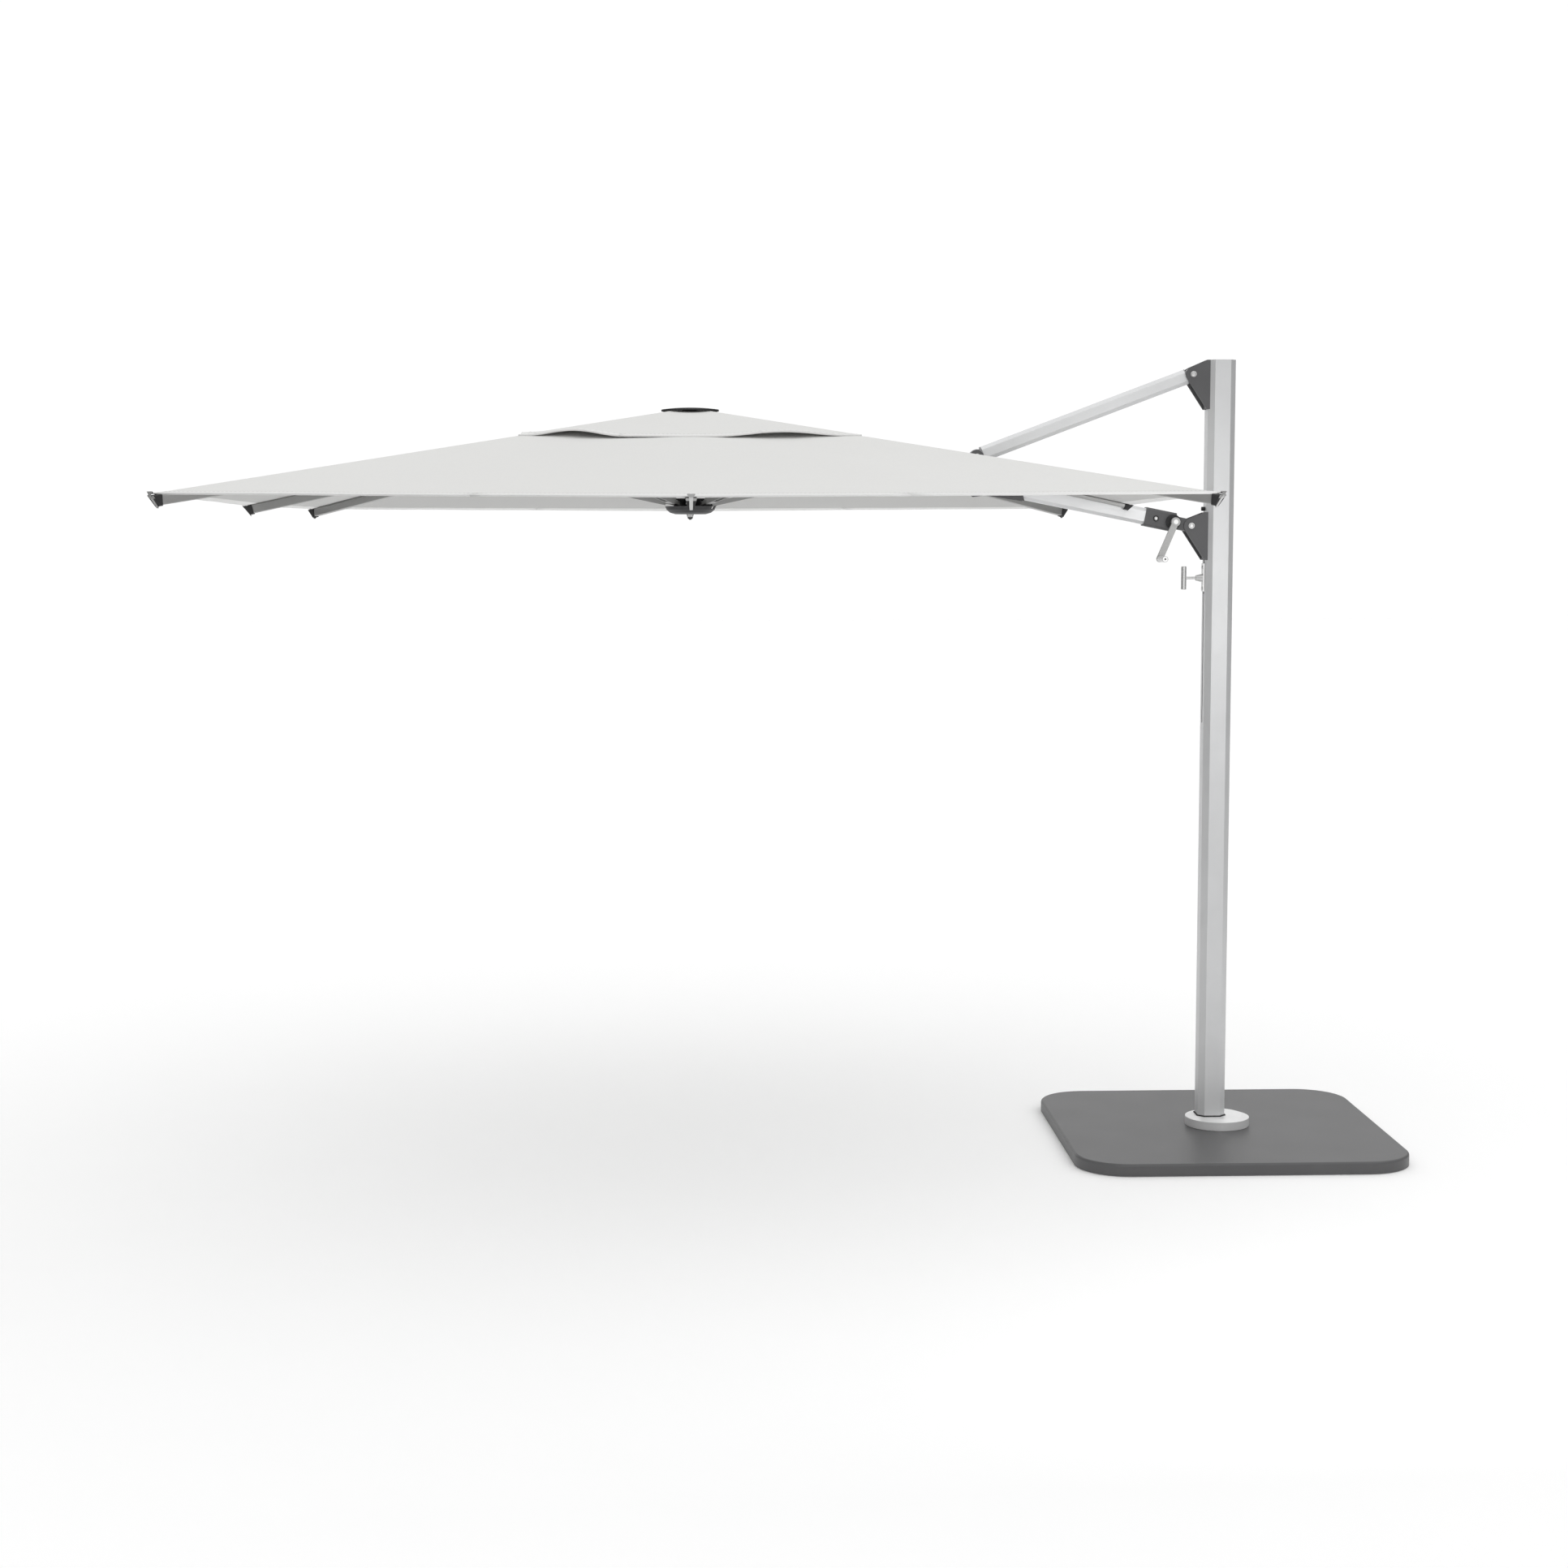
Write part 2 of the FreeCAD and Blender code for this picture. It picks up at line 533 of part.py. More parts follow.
def fork(azimuth, r0, r1, z0, z1, gap, thick):
    """Two upright plates either side of a radial slot."""
    pair = [box(r0, r1, *sorted((side * gap, side * (gap + thick))), z0, z1) for side in (-1, 1)]
    return [place(p, centre(0, 0, 0), azimuth, 0) for p in pair]


def crown_hub():
    hub = rod(centre(0, 0, APEX - 38), V(0, 0, 1), 30, 28)
    hub = hub.fuse(rod(centre(0, 0, APEX - 16), V(0, 0, 1), 62, 6))
    for azimuth in RIB_AZIMUTHS.values():
        for cheek in fork(azimuth, 24, 60, APEX - 36, APEX - 14, 5, 4):
            hub = hub.fuse(cheek)
    spine = box(CANOPY_X + 26, CANOPY_X + 90, -36.5, 36.5, HEM_Z + APEX - 23,
                HEM_Z + APEX - 20)
    hub = hub.fuse(spine)
    for side in (-1, 1):
        cheek = box(CANOPY_X + 52, CANOPY_X + 110, *sorted((side * 12.5, side * 18.5)),
                    HEM_Z + 232, HEM_Z + APEX - 22)
        lug = box(CANOPY_X + 70, CANOPY_X + 90, *sorted((side * 32, side * 36.5)),
                  HEM_Z + APEX - 36, HEM_Z + APEX - 20)
        hub = hub.fuse(cheek).fuse(lug)
        hub = hub.fuse(cross_pin(slim_hinge(1).x, slim_hinge(1).z, 3, 7, side * 41.5))
    hub = hub.cut(cross_pin(CROWN_PIN.x, CROWN_PIN.z, 7, 40))
    hub = hub.cut(rod(centre(0, 0, APEX - 50), V(0, 0, 1), 4, 30))
    for azimuth in RIB_AZIMUTHS.values():
        bore = place(cross_pin(0, 0, 3.05, 9.3), rib_hinge(azimuth), azimuth, 0)
        hub = hub.cut(bore)
        swing = place(cross_pin(0, 0, 9, 5), rib_hinge(azimuth), azimuth, 0)
        hub = hub.cut(swing)
    return hub.removeSplitter()


def crown_cap():
    middle = centre(0, 0, CAP_TOP - CAP_CURVE)
    dome = Part.makeSphere(CAP_CURVE, middle)
    dome = dome.common(rod(centre(0, 0, CAP_TOP - 12), V(0, 0, 1), 98, 30))
    hollow = Part.makeSphere(CAP_CURVE - 3, middle)
    dome = dome.cut(hollow.common(rod(centre(0, 0, CAP_TOP - 13), V(0, 0, 1), 94, 30)))
    stem = rod(centre(0, 0, APEX - 10), V(0, 0, 1), 26, CAP_TOP - 2 - APEX + 10)
    return dome.fuse(stem).removeSplitter()


def crown_pin():
    pin = cross_pin(CROWN_PIN.x, CROWN_PIN.z, 7, 18.5)
    for side in (-1, 1):
        pin = pin.fuse(rod(V(CROWN_PIN.x, side * 18.5, CROWN_PIN.z), V(0, side, 0), 10, 4))
    return pin


def gores(inner, outer, apex_lift, slit):
    """Eight flat gores between the ribs, with the mast-side pair kept clear of the arm."""
    def height(x, y):
        far, near = max(abs(x), abs(y)), min(abs(x), abs(y))
        return APEX + apex_lift - far * (APEX + MID_DROP) / HALF + near * MID_DROP / HALF
    solids = []
    for turn in range(4):
        for side in (-1, 1):
            start = slit if turn == 0 else 0.25
            flat = [(inner, side * start), (outer, side * start), (outer, side * (outer - 0.25)),
                    (inner, side * (inner - 0.25))]
            points = []
            for x, y in flat:
                for _ in range(turn):
                    x, y = -y, x
                points.append(centre(x, y, height(x, y)))
            wire = polygon(points)
            solids.append(wire.extrude(V(0, 0, -FABRIC)))
    return solids


# ---- runner ----
def runner_hub():
    hub = rod(centre(0, 0, -40), V(0, 0, 1), 20, 59)
    for azimuth in RIB_AZIMUTHS.values():
        for cheek in fork(azimuth, 12, 57, -22, 10, 7, 3.5):
            hub = hub.fuse(cheek)
    for side in (-1, 1):
        y0, y1 = sorted((side * 27, side * 31.5))
        lug = box(CANOPY_X + 42, CANOPY_X + 88, y0, y1, HEM_Z - 15, HEM_Z + 2)
        post = box(CANOPY_X + 42, CANOPY_X + 49, y0, y1, HEM_Z - 26, HEM_Z)
        foot = V(CANOPY_X + SLIM_HINGE_X, side * 31.5, HEM_Z + RUNNER_PIVOT_Z)
        pin = rod(foot, V(0, side, 0), 5, 0.4)
        hub = hub.fuse(lug).fuse(post).fuse(pin)
    hub = hub.fuse(rod(centre(0, 0, -26), V(0, 0, 1), 58, 4))
    return hub.cut(rod(centre(0, 0, 9), V(0, 0, 1), 7, 12)).removeSplitter()


def runner_bowl():
    """A dish with a rolled rim, closed below."""
    profile = [(0, -43), (52, -43), (70, -38), (82, -28), (87.5, -16), (83, -16), (78.5, -26),
               (68, -34.5), (51, -40), (0, -40)]
    face = Part.Face(Part.makePolygon([centre(x, 0, z) for x, z in profile + profile[:1]]))
    bowl = face.revolve(centre(0, 0, 0), V(0, 0, 1), 360)
    for y in (-36, 36):
        bowl = bowl.cut(box(CANOPY_X + 60, CANOPY_X + 100, y - 9, y + 9, HEM_Z - 25, HEM_Z))
    return bowl


def line_end():
    return rod(centre(0, 0, 9.5), V(0, 0, 1), 6.5, 16)


def drop_line():
    return rod(centre(0, 0, 26), V(0, 0, 1), 2, APEX - 65)


def main():
    os.makedirs("parts", exist_ok=True)
    save("base_cover", base_cover())
    save("ballast_slabs", *ballast_slabs())
    save("base_feet", *base_feet())
    save("swivel_flange", swivel_flange())
    save("base_fasteners", *flange_bolts(), stud_nut())
    save("mast_collar", mast_collar())
    save("mast_tube", mast_tube())
    save("mast_foot_plug", mast_foot_plug())
    save("mast_cap", mast_cap())
    save("top_bracket", bracket(TOP_PIVOT_Z, MAST_TOP - TOP_PIVOT_Z, -118, 0))
    save("top_pivot_pin", pivot_pin(TOP_PIVOT_Z))
    save("slide_bumper", slide_bumper())
    save("carriage_bracket", bracket(LOW_PIVOT_Z, 46, -117, CLEAR))
    save("lower_pivot_pin", pivot_pin(LOW_PIVOT_Z))
    save("carriage_shoe", carriage_shoe())
    save("lock_housing", lock_housing())
    save("lock_spring", *lock_spring())
    save("t_handle", t_handle())
    save("strut_tube", strut_tube())
    save("strut_head", on_strut(strut_end(0, 90, 22, CHEEK_IN - 0.3, 8.05)))
    save("strut_tail", on_strut(strut_end(STRUT_LENGTH, STRUT_LENGTH - 95, 24, 21, 15)))
    save("boom_tube", boom_tube())
    save("boom_knuckle", boom_knuckle())
    save("knuckle_bolt", knuckle_bolt())
    save("crank_bush", crank_bush())
    save("strut_saddle", strut_saddle())
    save("strut_pin", strut_pin())
    save("boom_tongue", boom_tongue())
    save("lift_line", lift_line())
    save("slit_cover", *slit_cover())
    save("crank_shaft", crank_shaft())
    save("crank_arm", crank_arm())
    save("crank_grip", crank_grip())
    save("crown_hub", crown_hub())
    save("crown_cap", crown_cap())
    save("crown_pin", crown_pin())
    save("canopy_cover", *gores(VENT_OPENING, HALF, 0, SLIT))
    save("vent_cover", *gores(62, VENT_HALF, VENT_LIFT, 0.25))
    for name, azimuth in RIB_AZIMUTHS.items():
        save(f"rib_{name}", *rib(azimuth, rib_hinge(azimuth), RIB_HIGH, RIB_WIDE, 32, 32,
                             HINGE_R, True))
        save(f"stretcher_{name}", stretcher(azimuth))
    for name, side in (("mast_near", -1), ("mast_far", 1)):
        save(f"rib_{name}", *rib(0, slim_hinge(side), SLIM_HIGH, SLIM_WIDE, 20, 16,
                             SLIM_HINGE_X, False))
        save(f"stretcher_{name}", slim_stretcher(side))
    save("runner_hub", runner_hub())
    save("runner_bowl", runner_bowl())
    save("line_end", line_end())
    save("drop_line", drop_line())


if __name__ == "__main__":
    main()
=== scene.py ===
"""Looks of the cantilever parasol: fabric, hems, cord, end shoes, fittings and materials, built
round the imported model. Metres, +Z up; the canopy stands toward -X."""
import json
import math

import bmesh
import bpy
from mathutils import Matrix, Vector, noise


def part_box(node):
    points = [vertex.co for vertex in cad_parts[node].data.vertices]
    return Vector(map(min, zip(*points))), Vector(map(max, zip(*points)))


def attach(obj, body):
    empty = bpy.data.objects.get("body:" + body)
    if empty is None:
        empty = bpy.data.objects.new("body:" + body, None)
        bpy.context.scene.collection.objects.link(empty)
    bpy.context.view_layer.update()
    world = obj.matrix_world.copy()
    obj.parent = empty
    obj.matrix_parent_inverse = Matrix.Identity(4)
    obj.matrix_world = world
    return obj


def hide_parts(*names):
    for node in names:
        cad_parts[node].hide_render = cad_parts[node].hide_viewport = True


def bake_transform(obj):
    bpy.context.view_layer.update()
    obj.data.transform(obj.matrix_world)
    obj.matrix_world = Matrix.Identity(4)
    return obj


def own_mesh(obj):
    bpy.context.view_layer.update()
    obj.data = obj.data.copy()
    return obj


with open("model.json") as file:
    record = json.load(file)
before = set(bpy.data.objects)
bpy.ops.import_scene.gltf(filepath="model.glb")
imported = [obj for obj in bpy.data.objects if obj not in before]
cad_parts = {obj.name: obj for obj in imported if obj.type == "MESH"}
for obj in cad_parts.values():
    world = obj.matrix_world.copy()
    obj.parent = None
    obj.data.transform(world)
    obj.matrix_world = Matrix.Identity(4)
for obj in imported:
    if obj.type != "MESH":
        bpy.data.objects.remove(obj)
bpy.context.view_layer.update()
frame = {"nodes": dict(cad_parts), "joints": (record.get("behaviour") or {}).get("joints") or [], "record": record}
joints = {j["name"]: j for j in frame["joints"]}

# ---- places and sizes, from the frame where it gives them ----
CLOTH = 0.0016  # thickness of both covers
APEX, MID_DROP = 0.314, 0.0095  # the peak over the hem's corners, and the hem's middles below them
VENT_LIFT = 0.0028  # the vent's cloth over the main cloth
cover_lo, cover_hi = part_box("canopy_cover")
vent_lo, vent_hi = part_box("vent_cover")
HALF = (cover_hi.x - cover_lo.x) / 2
VENT_HALF = (vent_hi.x - vent_lo.x) / 2
CENTRE = Vector(((cover_hi.x + cover_lo.x) / 2, 0, cover_lo.z + MID_DROP + CLOTH))
OPENING, VENT_INNER = 0.430, 0.062  # inner edges of the two covers, out from the centre
SLIT, VENT_SLIT = 0.0385, 0.0003  # half widths of the cuts over the arm
HALF_GORE = math.tan(math.radians(22.5))  # where gores meet, as a share of middle to corner
RIB_HIGH, SLIM_HIGH = 0.030, 0.014  # depths of the ribs' tubes
HEM_WIDTH, HEM_RISE, HEM_BEAD = 0.034, 0.0009, 0.0026
SEAM_OFFSET, STITCH_PITCH, STITCH_LENGTH = 0.030, 0.012, 0.0075
CORNER_SHARE = math.sqrt(2)  # a corner's distance from the centre, over a side's
UP = Vector((0, 0, 1))
ribs = {"left": "canopy_fold"}
for joint in joints.values():
    if joint["name"].startswith("fold_"):
        ribs[joint["name"][5:]] = joint["name"]


# ---- mesh helpers ----
def placed(name, data):
    """An object holding the data, linked to the scene."""
    obj = bpy.data.objects.new(name, data)
    bpy.context.scene.collection.objects.link(obj)
    return obj


def mesh_object(name, verts, faces, material, smooth=True):
    mesh = bpy.data.meshes.new(name)
    mesh.from_pydata([tuple(v) for v in verts], [], faces)
    mesh.validate()
    mesh.update()
    bm = bmesh.new()
    bm.from_mesh(mesh)
    bmesh.ops.recalc_face_normals(bm, faces=bm.faces)
    bm.to_mesh(mesh)
    bm.free()
    for face in mesh.polygons:
        face.use_smooth = smooth
    mesh.materials.append(material)
    return placed(name, mesh)


def loft(rings, closed_ends=True):
    """Vertices and faces of a skin through rings of equal length."""
    n = len(rings[0])
    verts = [p for ring in rings for p in ring]
    faces = [(i * n + j, i * n + (j + 1) % n, (i + 1) * n + (j + 1) % n, (i + 1) * n + j)
             for i in range(len(rings) - 1) for j in range(n)]
    if closed_ends:
        faces += [tuple(range(n)), tuple((len(rings) - 1) * n + j for j in range(n))]
    return verts, faces


def lathe(name, material, profile, matrix, segments=48, smooth=True):
    """A turned piece: profile is (along, radius) pairs along the matrix's own Z."""
    rings = [[matrix @ Vector((r * math.cos(2 * math.pi * k / segments),
                               r * math.sin(2 * math.pi * k / segments), z))
              for k in range(segments)] for z, r in profile]
    return mesh_object(name, *loft(rings), material, smooth)


def crisp(obj, degrees=35):
    """Smooth shading that keeps edges sharper than the angle."""
    bm = bmesh.new()
    bm.from_mesh(obj.data)
    for edge in bm.edges:
        if len(edge.link_faces) == 2 and edge.calc_face_angle(0) > math.radians(degrees):
            edge.smooth = False
    bm.to_mesh(obj.data)
    bm.free()
    return obj


def pointing(point, direction):
    """Matrix whose Z axis runs along direction from point."""
    turn = Vector(direction).to_track_quat("Z", "Y").to_matrix().to_4x4()
    return Matrix.Translation(point) @ turn


def joined(name, parts):
    """One object from several."""
    bm = bmesh.new()
    materials = []
    for part in parts:
        offset = len(bm.faces)
        bm.from_mesh(part.data)
        bm.faces.ensure_lookup_table()
        material = part.data.materials[0]
        if material not in materials:
            materials.append(material)
        for face in bm.faces[offset:]:
            face.material_index = materials.index(material)
        bpy.data.objects.remove(part)
    mesh = bpy.data.meshes.new(name)
    bm.to_mesh(mesh)
    bm.free()
    for material in materials:
        mesh.materials.append(material)
    return placed(name, mesh)


def double_skin(name, grid, material):
    """A thin sheet: the grid of points, the same grid one cloth lower, and the rim between."""
    rows, n = len(grid) - 1, len(grid[0])
    top = [point for row in grid for point in row]
    count = len(top)
    faces = []
    for i in range(rows):
        for j in range(n - 1):
            a, b = i * n + j, i * n + j + 1
            c, d = a + n, b + n
            faces += [(a, b, d, c), (a + count, c + count, d + count, b + count)]
    rim = (list(range(n)) + [i * n + n - 1 for i in range(1, rows + 1)]
           + [rows * n + j for j in range(n - 2, -1, -1)] + [i * n for i in range(rows - 1, 0, -1)])
    for a, b in zip(rim, rim[1:] + rim[:1]):
        faces.append((a, a + count, b + count, b))
    return mesh_object(name, top + [point - UP * CLOTH for point in top], faces, material)


# ---- materials ----
class Nodes:
    """A material's node tree with short calls."""

    def __init__(self, name, colour, roughness, metallic=0.0):
        self.material = bpy.data.materials.new(name)
        self.material.use_nodes = True
        self.tree = self.material.node_tree
        self.shader = self.tree.nodes["Principled BSDF"]
        self.shader.inputs["Metallic"].default_value = metallic
        self.shader.inputs["Roughness"].default_value = roughness
        self.shader.inputs["Base Color"].default_value = (*colour, 1)
        self.colour = colour
        self.coords = self.tree.nodes.new("ShaderNodeTexCoord")

    def add(self, kind, **inputs):
        node = self.tree.nodes.new(kind)
        for key, value in inputs.items():
            node.inputs[key.replace("_", " ")].default_value = value
        return node

    def link(self, source, target):
        self.tree.links.new(source, target)

    def scaled(self, scale):
        mapping = self.add("ShaderNodeMapping", Scale=scale)
        self.link(self.coords.outputs["Object"], mapping.inputs["Vector"])
        return mapping.outputs["Vector"]

    def noise(self, scale, detail=3.0, stretch=(1, 1, 1)):
        node = self.add("ShaderNodeTexNoise", Scale=scale, Detail=detail)
        self.link(self.scaled(stretch), node.inputs["Vector"])
        return node.outputs["Fac"]

    def ramp(self, source, low, high, start=0.3, end=0.7):
        node = self.add("ShaderNodeMapRange")
        node.inputs["From Min"].default_value = start
        node.inputs["From Max"].default_value = end
        node.inputs["To Min"].default_value = low
        node.inputs["To Max"].default_value = high
        self.link(source, node.inputs["Value"])
        return node.outputs["Result"]

    def tint(self, source, darker, lighter):
        """Colour between two shades of the base colour."""
        mix = self.tree.nodes.new("ShaderNodeMix")
        mix.data_type = "RGBA"
        mix.inputs["A"].default_value = (*(c * darker for c in self.colour), 1)
        mix.inputs["B"].default_value = (*(min(c * lighter, 1) for c in self.colour), 1)
        self.link(source, mix.inputs["Factor"])
        self.link(mix.outputs["Result"], self.shader.inputs["Base Color"])

    def bump(self, source, strength, distance):
        node = self.add("ShaderNodeBump", Strength=strength, Distance=distance)
        self.link(source, node.inputs["Height"])
        self.link(node.outputs["Normal"], self.shader.inputs["Normal"])

    def roughness(self, source):
        self.link(source, self.shader.inputs["Roughness"])


def drawn_metal(name, colour, roughness, along, metallic=0.9):
    """Anodised or brushed metal with fine lines along one direction."""
    nodes = Nodes(name, colour, roughness, metallic)
    stretch = tuple(1 - 0.97 * abs(a) for a in along)
    lines = nodes.noise(900, 4, stretch)
    cloud = nodes.noise(9, 3)
    nodes.tint(nodes.ramp(cloud, 0, 1), 0.97, 1.02)
    nodes.roughness(nodes.ramp(lines, roughness - 0.03, roughness + 0.05))
    nodes.bump(lines, 0.05, 0.0002)
    return nodes.material


def powder_coat(name, colour, roughness=0.55):
    nodes = Nodes(name, colour, roughness)
    grain = nodes.noise(1400, 2)
    nodes.tint(nodes.ramp(nodes.noise(5, 4), 0, 1), 0.92, 1.08)
    nodes.roughness(nodes.ramp(grain, roughness - 0.06, roughness + 0.08))
    nodes.bump(grain, 0.35, 0.0003)
    return nodes.material


def moulded_plastic(name, colour, roughness=0.5):
    nodes = Nodes(name, colour, roughness)
    grain = nodes.noise(2200, 3)
    nodes.tint(nodes.ramp(nodes.noise(30, 3), 0, 1), 0.9, 1.15)
    nodes.roughness(nodes.ramp(grain, roughness - 0.05, roughness + 0.06))
    nodes.bump(grain, 0.25, 0.0002)
    return nodes.material


def woven(name, colour, pitch=0.0012, roughness=0.85):
    """Plain canvas: two crossed sets of threads with slubs and faint cloudy shade."""
    nodes = Nodes(name, colour, roughness)
    waves = []
    for axis in ("X", "Y"):
        wave = nodes.add("ShaderNodeTexWave", Scale=0.314 / pitch, Distortion=0.6)
        wave.bands_direction = axis
        nodes.link(nodes.coords.outputs["Object"], wave.inputs["Vector"])
        waves.append(wave.outputs["Fac"])
    weave = nodes.add("ShaderNodeMath")
    weave.operation = "MAXIMUM"
    nodes.link(waves[0], weave.inputs[0])
    nodes.link(waves[1], weave.inputs[1])
    slub = nodes.noise(160, 5, (1, 0.08, 1))
    shade = nodes.noise(2.5, 4)
    both = nodes.add("ShaderNodeMath")
    both.operation = "MULTIPLY"
    nodes.link(nodes.ramp(slub, 0.7, 1), both.inputs[0])
    nodes.link(nodes.ramp(shade, 0.75, 1), both.inputs[1])
    nodes.tint(both.outputs[0], 0.955, 1.01)
    nodes.bump(weave.outputs[0], 0.25, 0.0003)
    nodes.shader.inputs["Sheen Weight"].default_value = 0.15
    nodes.shader.inputs["Sheen Roughness"].default_value = 0.5
    nodes.shader.inputs["Specular IOR Level"].default_value = 0.25
    return nodes.material


def cast_stone(name, colour):
    nodes = Nodes(name, colour, 0.95)
    nodes.tint(nodes.ramp(nodes.noise(60, 6), 0, 1), 0.75, 1.15)
    nodes.bump(nodes.noise(240, 5), 0.5, 0.001)
    return nodes.material


fabric = woven("canvas_light", (0.80, 0.80, 0.785))
# the underside cloth is a darker copy of the canvas: painted shade for the cloth's shaded lower face
fabric_underside_painted_shade = woven("canvas_underside_painted_shade", (0.56, 0.56, 0.55))
fabric_edge = woven("canvas_hem", (0.86, 0.86, 0.85), 0.0009)
thread = Nodes("stitch_thread", (0.68, 0.68, 0.66), 0.7).material
silver = drawn_metal("anodised_upright", (0.70, 0.705, 0.71), 0.42, (0, 0, 1), 0.45)
silver_arm = drawn_metal("anodised_arm", (0.76, 0.765, 0.77), 0.40, (1, 0, 0), 0.45)
# the ribs are the arm's anodised silver, painted a darker grey as shade
rib_metal_painted_shade = drawn_metal("anodised_rib_painted_shade", (0.42, 0.42, 0.415), 0.42, (0.6, 0.6, 0), 0.6)
collar_metal = drawn_metal("turned_collar", (0.84, 0.84, 0.84), 0.36, (0.7, 0.7, 0), 0.35)
stainless = drawn_metal("brushed_stainless", (0.64, 0.64, 0.635), 0.36, (0, 1, 0), 0.7)
cast_alloy = powder_coat("cast_alloy", (0.36, 0.36, 0.37), 0.45)
dark_coat = powder_coat("dark_coat", (0.105, 0.105, 0.108), 0.5)
base_coat = powder_coat("base_coat", (0.088, 0.088, 0.09), 0.42)
black = moulded_plastic("black_plastic", (0.022, 0.022, 0.023), 0.6)
dish_plastic = moulded_plastic("dish_plastic", (0.036, 0.036, 0.038), 0.5)
crank_metal = drawn_metal("crank_metal", (0.46, 0.46, 0.455), 0.5, (0, 1, 0), 0.6)
grip_metal = drawn_metal("turned_grip", (0.66, 0.66, 0.66), 0.34, (0, 1, 0), 0.6)
rubber = moulded_plastic("rubber", (0.02, 0.02, 0.02), 0.75)
braid = woven("braided_line", (0.12, 0.12, 0.12), 0.0008)
stone = cast_stone("cast_stone", (0.42, 0.41, 0.39))

SLOT_LOOKS = {"dark_coat": dark_coat, "concrete": stone, "rubber": rubber, "steel": stainless,
              "aluminium": silver, "cast_alloy": cast_alloy, "rib_alloy": rib_metal_painted_shade,
              "black_plastic": black, "canopy_fabric": fabric, "cord": braid}
NODE_LOOKS = {"base_cover": base_coat, "mast_collar": collar_metal, "strut_tube": silver_arm,
              "boom_tube": silver_arm, "runner_bowl": dish_plastic,
              "crank_bush": black, "crank_grip": grip_metal, "crank_arm": crank_metal}


def dress_nodes():
    """Every CAD node that stays in view gets its finished material."""
    for part in frame["record"]["subparts"]:
        obj = frame["nodes"][part["node"]]
        look = NODE_LOOKS.get(part["node"], SLOT_LOOKS[part["material_slot"]])
        obj.data.materials.clear()
        obj.data.materials.append(look)


# ---- the canopy's surface ----
def flat_height(far, near):
    """Height over the corner hem of the taut surface; far is toward the side, near along it."""
    return APEX - far * (APEX + MID_DROP) / HALF + near * MID_DROP / HALF


def sagging_height(far, near, side):
    """Taut gores hang a little between their ribs, most at mid length and least at the hem."""
    across = abs(near) / far
    along = far / HALF
    sag = 0.0075 * math.sin(math.pi * across) ** 2 * math.sin(math.pi * along) ** 0.7
    pull = 0.0012 * noise.noise(Vector((far * 5, across * 7, side * 3))) * math.sin(math.pi * across)
    return flat_height(far, abs(near)) - sag + pull


# where each vent gore lifts: (side, half) -> (place from middle 0 to corner 1, width, height)
VENT_WAVES = {(3, -1): (0.68, 0.29, 0.018), (3, 1): (0.54, 0.40, 0.014),
              (2, -1): (0.45, 0.35, 0.013), (2, 1): (0.62, 0.30, 0.018),
              (1, -1): (0.52, 0.38, 0.016), (1, 1): (0.66, 0.28, 0.014),
              (0, -1): (0.60, 0.32, 0.012), (0, 1): (0.48, 0.34, 0.015)}


def vent_height(far, near, side):
    place, width, height = VENT_WAVES[(side, 1 if near >= 0 else -1)]
    across = abs(near) / far
    u = (across - place) / width
    crest = math.cos(u * math.pi / 2) ** 2 if abs(u) < 1 else 0
    edge = max(0, (far / VENT_HALF - 0.62) / 0.38)
    return flat_height(far, abs(near)) + VENT_LIFT + height * crest * edge ** 1.6


def side_point(side, far, near, height):
    """A point of one of the four sides: side 0 looks toward the mast, counted by quarter turns."""
    angle = side * math.pi / 2
    x = far * math.cos(angle) - near * math.sin(angle)
    y = far * math.sin(angle) + near * math.cos(angle)
    return CENTRE + Vector((x, y, height))


def rib_frame(name):
    """Hinge point and outward direction of a rib, from its joint."""
    joint = joints[ribs[name]]
    axis = Vector(joint["axis"])
    return Vector(joint["pos_m"]), Vector((axis.y, -axis.x, 0))


def hem_reach(out):
    """How far the hem is from the centre along a rib, and whether the rib runs to a corner."""
    corner = abs(abs(out.x) - abs(out.y)) < 0.1
    return HALF * (CORNER_SHARE if corner else 1), corner


def columns(name, steps):
    """Across one rib's cloth: (side, share of the way from the side's middle to its corner) for
    each column of points, and which way the arm's slit lies (0 where there is none)."""
    _, out = rib_frame(name)
    turn = round(math.degrees(math.atan2(out.y, out.x)) / 45) % 8
    if name.startswith("mast_"):
        sign = 1 if name == "mast_far" else -1
        return [(0, sign * (k / steps) * HALF_GORE) for k in range(steps + 1)], sign
    if turn % 2 == 0:
        return [(turn // 2, (k / steps * 2 - 1) * HALF_GORE) for k in range(steps + 1)], 0
    first, second = (turn - 1) // 2, ((turn + 1) // 2) % 4
    half = steps // 2
    left = [(first, HALF_GORE + (1 - HALF_GORE) * k / half) for k in range(half + 1)]
    right = [(second, -1 + (1 - HALF_GORE) * k / half) for k in range(1, half + 1)]
    return left + right, 0


def cloth_piece(name, rib, inner, outer, height, rows, steps, slit):
    """The cloth that one rib carries, from mid gore to mid gore, and its last two rows of points."""
    cols, slit_side = columns(rib, steps)
    grid = []
    for i in range(rows + 1):
        far = inner + (outer - inner) * i / rows
        row = []
        for side, share in cols:
            near = far * share
            if slit_side:
                spread = abs(share) / HALF_GORE
                near = slit_side * (slit + (far * HALF_GORE - slit) * spread)
            row.append(side_point(side, far, near, height(far, near, side)))
        grid.append(row)
    sheet = double_skin(name, grid, fabric)
    # faces looking down take the darker cloth, painted shade on the underside
    sheet.data.materials.append(fabric_underside_painted_shade)
    for face in sheet.data.polygons:
        face.material_index = 1 if face.normal.z < -0.5 else 0
    crisp(sheet, 50)
    return sheet, grid[rows], grid[rows - 1]


